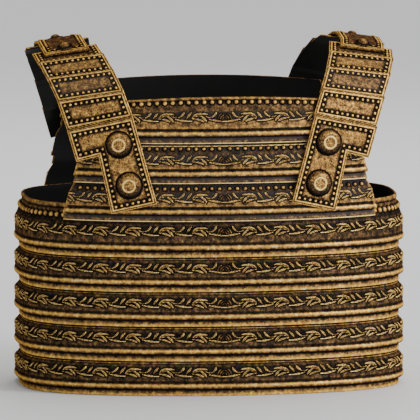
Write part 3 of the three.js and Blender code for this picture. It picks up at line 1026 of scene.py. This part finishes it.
def top_plate_draft():
    inner = np.array([s[0] for s in TOP_SECTIONS])
    outer = np.array([s[1] for s in TOP_SECTIONS])
    walked = np.concatenate([[0], np.cumsum(np.linalg.norm(np.diff(inner, axis=0), axis=1))])
    length = float(walked[-1])

    def edge(line, b):
        """Points along one edge of the plate."""
        return np.stack([np.interp(b, walked, line[:, k]) for k in range(3)], -1)

    def place(a, b, lift):
        i, o, step = edge(inner, b), edge(outer, b), 1.0
        normal = np.cross(o - i, edge(inner, b + step) - edge(inner, b - step))
        normal /= np.linalg.norm(normal, axis=1)[:, None]
        return i + (o - i) * (a / TOP_WIDTH)[:, None] + normal * lift[:, None]

    draft = Draft()
    add_panel(draft, TOP_WIDTH, length, place, TOP_THICKNESS, TOP_FIELD_TONE, (2, 24))
    up = unit(np.cross(outer[0] - inner[0], (0.0, 1.0, 0.0)))
    add_fine_dots(draft, dot_corners(TOP_WIDTH, length), place, up)
    return draft


def turned_draft(outline, centre, out, lit=0.0, lit_from=0.0, sides=48):
    """A round piece turned about the way out. outline lists radius, height and tone.
    Beyond a radius, lit adds tone on the upper side and takes it off below."""
    turn = turns(sides)
    ring = circle(out, turn)
    points = [centre + ring * radius + out * height for radius, height, _ in outline]
    tones = [np.clip(tone + (lit if radius > lit_from else 0.0) * np.sin(turn), 0, 1)
             for radius, _, tone in outline]
    faces = grid_faces(len(outline), sides, closed=True)
    last = (len(outline) - 1) * sides
    faces.append(tuple(range(last, last + sides)))
    faces.append(tuple(range(sides))[::-1])
    draft = Draft()
    draft.add(np.concatenate(points), faces, np.concatenate(tones))
    return draft


# Lines of a boss's face: beyond the radius of the flat, above the height, and tone
BOSS_LINES = (
    (0.5, -0.65, 0.3), (0.0, -0.1, 0.84), (-0.7, 0.0, 0.96), (-1.6, -0.05, 0.92),
    (-2.2, -0.35, 0.5), (-3.2, -0.3, 0.5), (-6.0, -0.35, 0.58),
)


def boss_draft(across, along):
    """A boss: a broad dome with a flat face, rubbed by wear, inside a bright ring. Its flank
    darkens to painted shade at its foot.
    """
    outline = [(BOSS_RADIUS - 0.2, 0.0, 0.0), (BOSS_RADIUS, 0.5, 0.05)]
    shoulder = BOSS_FACE + 0.9
    for share in np.linspace(0.1, 1, 10):
        angle = share * math.pi / 2
        radius = shoulder + (BOSS_RADIUS - shoulder) * math.cos(angle)
        height = 0.5 + (BOSS_HEIGHT - 1.2) * math.sin(angle)
        outline.append((radius, height, 0.14 + 0.3 * share))
    outline += [(BOSS_FACE + out, BOSS_HEIGHT + up, tone) for out, up, tone in BOSS_LINES]
    centre = END.point(across * STRAP_WIDTH, along * END.length, CLEARANCE)
    return turned_draft(outline, centre, END.out, lit=0.18, lit_from=BOSS_FACE + 0.5)


def stud_draft():
    outline = [
        (STUD_RADIUS - 0.3, 0.0, 0.0),
        (STUD_RADIUS, 0.3, 0.1),
        (STUD_RADIUS - 0.4, 0.8, 0.3),
        (STUD_RADIUS - 1.2, 1.0, 0.12),
        (STUD_DOME + 1.4, 1.1, 0.06),
        (STUD_DOME + 0.4, 1.5, 0.2),
    ]
    for angle in np.linspace(0.15, 1.45, 7):
        radius = STUD_DOME * math.cos(angle) + 0.2
        height = 1.6 + (STUD_HEIGHT - 1.6) * math.sin(angle)
        outline.append((radius, height, 0.34 + 0.18 * math.sin(angle)))
    (i0, o0), (i1, o1) = TOP_SECTIONS[0], TOP_SECTIONS[1]
    out = STRAP_FRAMES[-1]["out"]
    return turned_draft(outline, (i0 + o0 + i1 + o1) / 4 + out * CLEARANCE, out)


# Colours up the tone, for the embossed sheets, and for the straps and bosses
STOPS = (0.0, 0.18, 0.38, 0.58, 0.78, 0.9, 1.0)
DARKS = ((0.007, 0.0065, 0.006), (0.027, 0.020, 0.015))
SHEET_COLOURS = (*DARKS, (0.102, 0.058, 0.027), (0.285, 0.158, 0.060), (0.59, 0.325, 0.072),
                 (0.90, 0.53, 0.095), (1.0, 0.84, 0.42))
GOLDEN_COLOURS = (*DARKS, (0.115, 0.062, 0.027), (0.35, 0.19, 0.062), (0.76, 0.41, 0.095),
                  (0.95, 0.61, 0.15), (1.0, 0.84, 0.36))
# The wear: scale and roughness of its clouds and of its grains, and how it grows and falls
# with the tone, so that it shows least at both ends
CLOUDS = (210, 0.6)
GRAINS = (620, 0.7)
NOISE_DETAIL = 3
WEAR_SLOPE = 1.3
WEAR_START = 0.2
WEAR_END = 1.5
# Grey oxide: its colour, and how much of the brass it covers
OXIDE = (0.062, 0.053, 0.055, 1.0)
OXIDE_COVER = 0.85
# Roughness of the darkest brass, how much less it has when worn, and how much the grains add
ROUGHNESS = (0.62, 0.26, 0.25)
BUMP = {"Strength": 0.35, "Distance": 0.0006}
BRASS = {"Metallic": 0.4, "Specular IOR Level": 0.0, "Specular Tint": (0.3, 0.2, 0.1, 1.0)}
INSIDE_CLOUDS = 60
INSIDE_COLOURS = ((0.0035, 0.0035, 0.0035), (0.008, 0.0075, 0.007))
INSIDE = {"Roughness": 0.7, "Metallic": 0.0, "Specular IOR Level": 0.25}
FLOOR = {"Base Color": (0.9, 0.9, 0.9, 1.0), "Roughness": 0.9}


class Nodes:
    """Short calls for building a material or a world."""

    def __init__(self, owner, shader="Principled BSDF"):
        owner.use_nodes = True
        self.tree = owner.node_tree
        self.shader = self.tree.nodes[shader]

    def add(self, kind, **settings):
        node = self.tree.nodes.new(kind)
        for label, value in settings.items():
            setattr(node, label, value)
        return node

    def link(self, source, target):
        self.tree.links.new(source, target)

    def maths(self, operation, first, second, clamp=False):
        node = self.add("ShaderNodeMath", operation=operation, use_clamp=clamp)
        for socket, value in zip(node.inputs, (first, second)):
            if isinstance(value, (int, float)):
                socket.default_value = value
            else:
                self.link(value, socket)
        return node.outputs[0]

    def noise(self, scale, roughness=0.6):
        coordinates = self.add("ShaderNodeTexCoord")
        node = self.add("ShaderNodeTexNoise")
        self.settle({"Scale": scale, "Detail": NOISE_DETAIL, "Roughness": roughness}, node)
        self.link(coordinates.outputs["Object"], node.inputs["Vector"])
        return node.outputs["Fac"]

    def ramp(self, value, positions, colors):
        """The colour at a value, between the colours at some positions."""
        node = self.add("ShaderNodeValToRGB")
        stops = node.color_ramp.elements
        while len(stops) < len(positions):
            stops.new(0.5)
        for stop, position, color in zip(stops, positions, colors):
            stop.position = position
            stop.color = (*color, 1.0)
        self.link(value, node.inputs["Fac"])
        return node.outputs["Color"]

    def settle(self, values, node=None):
        """Sets inputs of a node, or of the shader."""
        for label, value in values.items():
            (node or self.shader).inputs[label].default_value = value


def worn_tone(nodes, tone, grains, mottle, speckle):
    """The tone under clouds and grains of wear."""
    clouds = nodes.maths("SUBTRACT", nodes.noise(*CLOUDS), 0.5)
    wear = nodes.maths("MULTIPLY", clouds, mottle)
    wear = nodes.maths("ADD", wear, nodes.maths("MULTIPLY", grains, speckle))
    sloped = nodes.maths("MULTIPLY", tone, WEAR_SLOPE)
    rising = nodes.maths("ADD", sloped, WEAR_START)
    falling = nodes.maths("SUBTRACT", WEAR_END, sloped)
    amount = nodes.maths("MINIMUM", rising, falling)
    return nodes.maths("ADD", tone, nodes.maths("MULTIPLY", wear, amount), clamp=True)


def antique_brass(name, mottle, speckle, colors):
    """Brass bright on its ridges, brown in between and black in the recesses, as the tone
    gives it, which holds wear as well as painted highlights and shade.
    """
    material = bpy.data.materials.new(name)
    nodes = Nodes(material)
    tone, patina = (nodes.add("ShaderNodeAttribute", attribute_name=label).outputs["Fac"]
                    for label in ("tone", "patina"))
    grains = nodes.maths("SUBTRACT", nodes.noise(*GRAINS), 0.5)
    worn_and_lit = worn_tone(nodes, tone, grains, mottle, speckle)
    grey = nodes.add("ShaderNodeMix", data_type="RGBA")
    nodes.settle({"B": OXIDE}, grey)
    covered = nodes.maths("MULTIPLY", patina, OXIDE_COVER, clamp=True)
    nodes.link(covered, grey.inputs["Factor"])
    nodes.link(nodes.ramp(worn_and_lit, STOPS, colors), grey.inputs["A"])
    nodes.link(grey.outputs["Result"], nodes.shader.inputs["Base Color"])
    dull, polish, grit = ROUGHNESS
    rough = nodes.maths("SUBTRACT", dull, nodes.maths("MULTIPLY", worn_and_lit, polish))
    rough = nodes.maths("ADD", rough, nodes.maths("MULTIPLY", grains, grit))
    nodes.link(rough, nodes.shader.inputs["Roughness"])
    nodes.settle(BRASS)
    bump = nodes.add("ShaderNodeBump")
    nodes.settle(BUMP, bump)
    nodes.link(grains, bump.inputs["Height"])
    nodes.link(bump.outputs["Normal"], nodes.shader.inputs["Normal"])
    return material


def dark_inside():
    """The inner face of the sheet, near black."""
    material = bpy.data.materials.new("near-black inside")
    nodes = Nodes(material)
    color = nodes.ramp(nodes.noise(INSIDE_CLOUDS), (0.0, 1.0), INSIDE_COLOURS)
    nodes.link(color, nodes.shader.inputs["Base Color"])
    nodes.settle(INSIDE)
    return material


# The brass of each slot
BRASSES = {
    "embossed_brass": antique_brass("embossed brass", 1.8, 1.1, SHEET_COLOURS),
    "strap_brass": antique_brass("strap brass", 1.5, 1.9, GOLDEN_COLOURS),
    "boss_brass": antique_brass("boss brass", 0.8, 2.4, GOLDEN_COLOURS),
}
inside = dark_inside()


def build_body():
    for number in range(1, HOOPS + 1):
        make_object(f"girth_hoop_{number}", "embossed", girth_hoop(number), "embossed_brass")
    sides = (("chest", CHEST_RISE, CHEST_ARCH, 1), ("back", BACK_RISE, BACK_ARCH, -1))
    for side, rise, arch, y in sides:
        foot = PLATE_FOOT
        for number, share in PLATE_ROWS:
            height = share * rise
            if number == 1:
                draft = body_plate(number, foot, height - NECK_DROPS[side], arch)
            else:
                draft = body_plate(number, foot, height, 0.0)
            make_object(f"{side}_plate_{number}", "embossed", draft.mirror(y, y),
                        "embossed_brass")
            foot += height


def build_straps():
    strap_drafts = [strap_plate_draft(plate, *finish_and_light)
                    for plate, finish_and_light in zip(STRAP_FRAMES, STRAP_FINISHES)]
    end_draft, stud, top = end_plate_draft(), stud_draft(), top_plate_draft()
    bosses = {label: boss_draft(*place) for label, place in BOSS_PLACES.items()}
    for side, x in (("left", 1), ("right", -1)):
        for face, y in (("front", 1), ("back", -1)):
            prefix = f"{side}_{face}"

            def place(part, draft, slot):
                make_object(f"{prefix}_{part}", "finished", draft.mirror(x, y), slot)

            place("end_plate", end_draft, "strap_brass")
            for i, draft in enumerate(strap_drafts):
                place(f"strap_plate_{i + 1}", draft, "strap_brass")
            for label, draft in bosses.items():
                place(f"{label}_boss", draft, "boss_brass")
            place("stud", stud, "boss_brass")
        make_object(f"{side}_top_plate", "finished", top.mirror(x, 1), "strap_brass")


# The camera stands far off, so that the view has almost no perspective.
VIEW_TURN = math.radians(-7.02)
VIEW_RISE = math.radians(6.34)
VIEW_DISTANCE = 18.0
VIEW_WIDTH = 0.4674
VIEW_TARGET = Vector((0.0014, 0.0, 0.1915))
SENSOR = 36.0


def add_camera():
    data = bpy.data.cameras.new("camera")
    data.sensor_width = SENSOR
    data.lens = SENSOR * VIEW_DISTANCE / VIEW_WIDTH
    camera = add_to_scene("camera", data)
    away = Vector((math.sin(VIEW_TURN) * math.cos(VIEW_RISE),
                   -math.cos(VIEW_TURN) * math.cos(VIEW_RISE),
                   math.sin(VIEW_RISE)))
    camera.location = VIEW_TARGET + away * VIEW_DISTANCE
    camera.rotation_euler = (-away).to_track_quat("-Z", "Y").to_euler()
    bpy.context.scene.camera = camera


# Soft lamps: name, place, size and power. All point at one target.
LAMPS = (("key", (2.4, -1.7, 1.4), 1.2, 56), ("rim", (0.4, 2.4, 1.8), 1.4, 16))
LAMP_TARGET = Vector((0.0, 0.0, 0.2))


def add_lamp(name, location, size, power):
    data = bpy.data.lights.new(name, "AREA")
    data.shape = "DISK"
    data.size = size
    data.energy = power
    lamp = add_to_scene(name, data)
    lamp.location = location
    aim = LAMP_TARGET - Vector(location)
    lamp.rotation_euler = aim.to_track_quat("-Z", "Y").to_euler()


FLOOR_SIZE = 12.0


def add_floor():
    mesh = bpy.data.meshes.new("floor")
    corners = [(x * FLOOR_SIZE, y * FLOOR_SIZE, 0) for x, y in ((-1, -1), (1, -1), (1, 1), (-1, 1))]
    mesh.from_pydata(corners, [], [(0, 1, 2, 3)])
    material = bpy.data.materials.new("pale floor")
    Nodes(material).settle(FLOOR)
    mesh.materials.append(material)
    add_to_scene("floor", mesh)


# The studio is dim on the right of the cuirass and bright on its left, where the key is.
WORLD_LEVEL = {"From Min": -0.75, "From Max": 0.75, "To Min": 0.36, "To Max": 1.2}


def add_studio():
    world = bpy.data.worlds.new("studio")
    nodes = Nodes(world, "Background")
    nodes.settle({"Color": (1.0, 1.0, 1.0, 1.0)})
    around = nodes.add("ShaderNodeTexCoord")
    parts = nodes.add("ShaderNodeSeparateXYZ")
    level = nodes.add("ShaderNodeMapRange")
    nodes.settle(WORLD_LEVEL, level)
    nodes.link(around.outputs["Generated"], parts.inputs["Vector"])
    nodes.link(parts.outputs["X"], level.inputs["Value"])
    nodes.link(level.outputs["Result"], nodes.shader.inputs["Strength"])
    bpy.context.scene.world = world
    for lamp in LAMPS:
        add_lamp(*lamp)


add_camera()
build_body()
build_straps()
add_floor()
add_studio()
